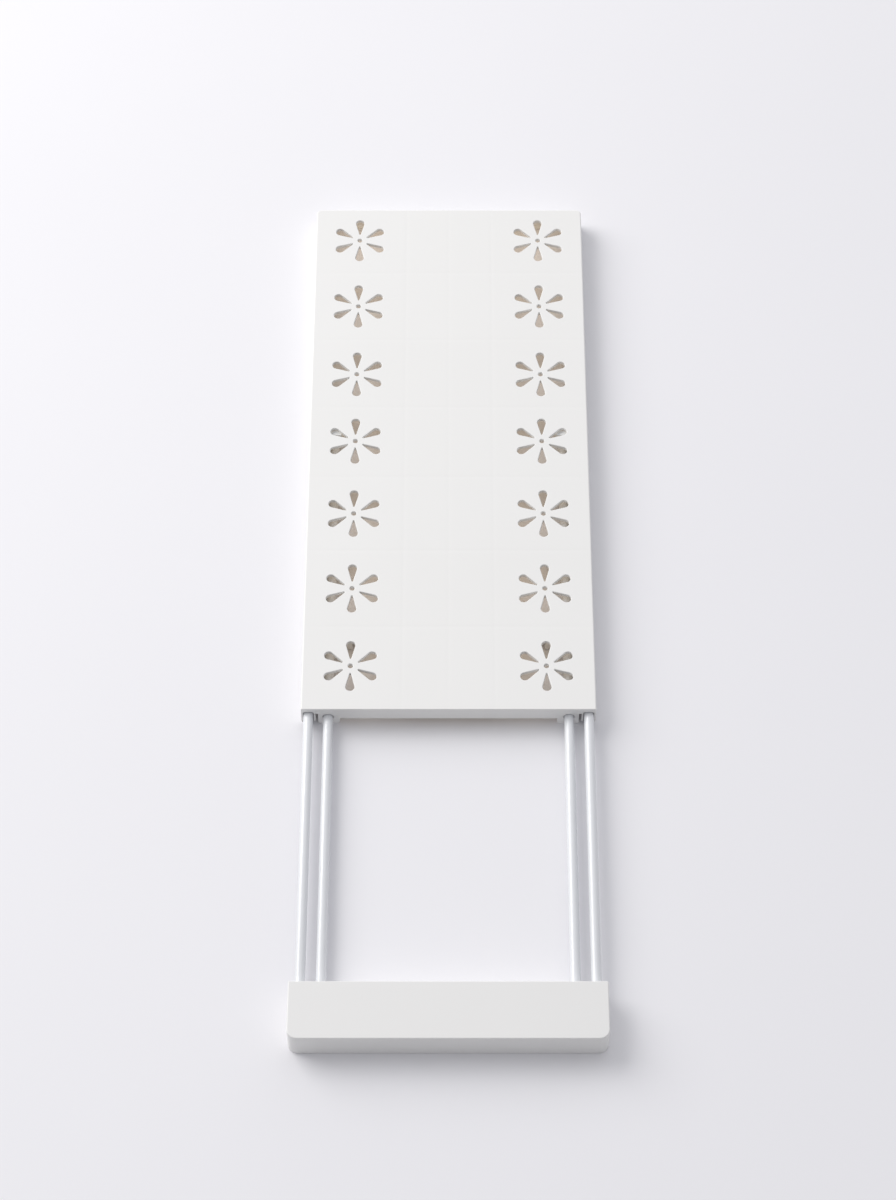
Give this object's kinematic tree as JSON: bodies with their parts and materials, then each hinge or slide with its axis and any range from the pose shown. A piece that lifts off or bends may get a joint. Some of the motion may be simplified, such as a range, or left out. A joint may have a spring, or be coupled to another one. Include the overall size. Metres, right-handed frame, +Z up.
{
  "type": "extending tension shelf",
  "caption": "Extending shelf: a moulded board with flower-shaped drain holes, steel rods that slide out from under it and a moulded end cap on the rods.",
  "frame": {"origin": "middle of the whole object at rest, on the surface that the skirts and the end cap stand on", "axes": "+X across the width, +Y towards the far end of the board, +Z up"},
  "size_m": [0.2448, 0.8414, 0.025],
  "materials": {
    "board_plastic": "moulded white plastic, fine satin grain",
    "cap_plastic": "moulded white plastic, fine satin grain",
    "cover_plastic": "moulded white plastic, coarser grain",
    "guide_plastic": "slippery off-white plastic",
    "rod_enamel": "white gloss coating on steel tube",
    "screw_steel": "bright zinc plate",
    "nut_steel": "bright zinc plate",
    "knob_plastic": "white plastic moulded on a steel stem",
    "shoe_rubber": "dark grey rubber"
  },
  "bodies": {
    "board": {"shelf_board": "board_plastic", "left_guide_saddle": "guide_plastic", "right_guide_saddle": "guide_plastic", "guide_saddle_screws": "screw_steel", "left_lock_nut": "nut_steel", "right_lock_nut": "nut_steel"},
    "slider": {"end_cap_shell": "cap_plastic", "end_cap_cover": "cover_plastic", "cap_cover_screws": "screw_steel", "rod_fixing_screws": "screw_steel", "left_outer_rod": "rod_enamel", "left_inner_rod": "rod_enamel", "left_outer_rod_stop": "guide_plastic", "left_inner_rod_stop": "guide_plastic", "right_outer_rod": "rod_enamel", "right_inner_rod": "rod_enamel", "right_outer_rod_stop": "guide_plastic", "right_inner_rod_stop": "guide_plastic"},
    "left_shoe": {"left_lock_shoe": "shoe_rubber"},
    "left_knob": {"left_lock_knob": "knob_plastic"},
    "right_shoe": {"right_lock_shoe": "shoe_rubber"},
    "right_knob": {"right_lock_knob": "knob_plastic"}
  },
  "joints": [
    {"name": "shelf_extension", "type": "slide", "parent": "board", "child": "slider", "axis": [0, -1, 0], "range_m": [-0.247, 0.1171]},
    {"name": "left_shoe_slide", "type": "slide", "parent": "board", "child": "left_shoe", "axis": [1, 0, 0], "range_m": [0, 0.002]},
    {"name": "left_knob_turn", "type": "hinge", "parent": "left_shoe", "child": "left_knob", "pos_m": [-0.071, -0.04047, 0.009], "axis": [1, 0, 0], "range_deg": [0, 720]},
    {"name": "right_shoe_slide", "type": "slide", "parent": "board", "child": "right_shoe", "axis": [-1, 0, 0], "range_m": [0, 0.002]},
    {"name": "right_knob_turn", "type": "hinge", "parent": "right_shoe", "child": "right_knob", "pos_m": [0.071, -0.04047, 0.009], "axis": [-1, 0, 0], "range_deg": [0, 720]}
  ],
  "couplings": [
    {"joint": "left_knob_turn", "follows": "left_shoe_slide", "rad_per_m": 6283.2},
    {"joint": "right_knob_turn", "follows": "right_shoe_slide", "rad_per_m": 6283.2}
  ]
}
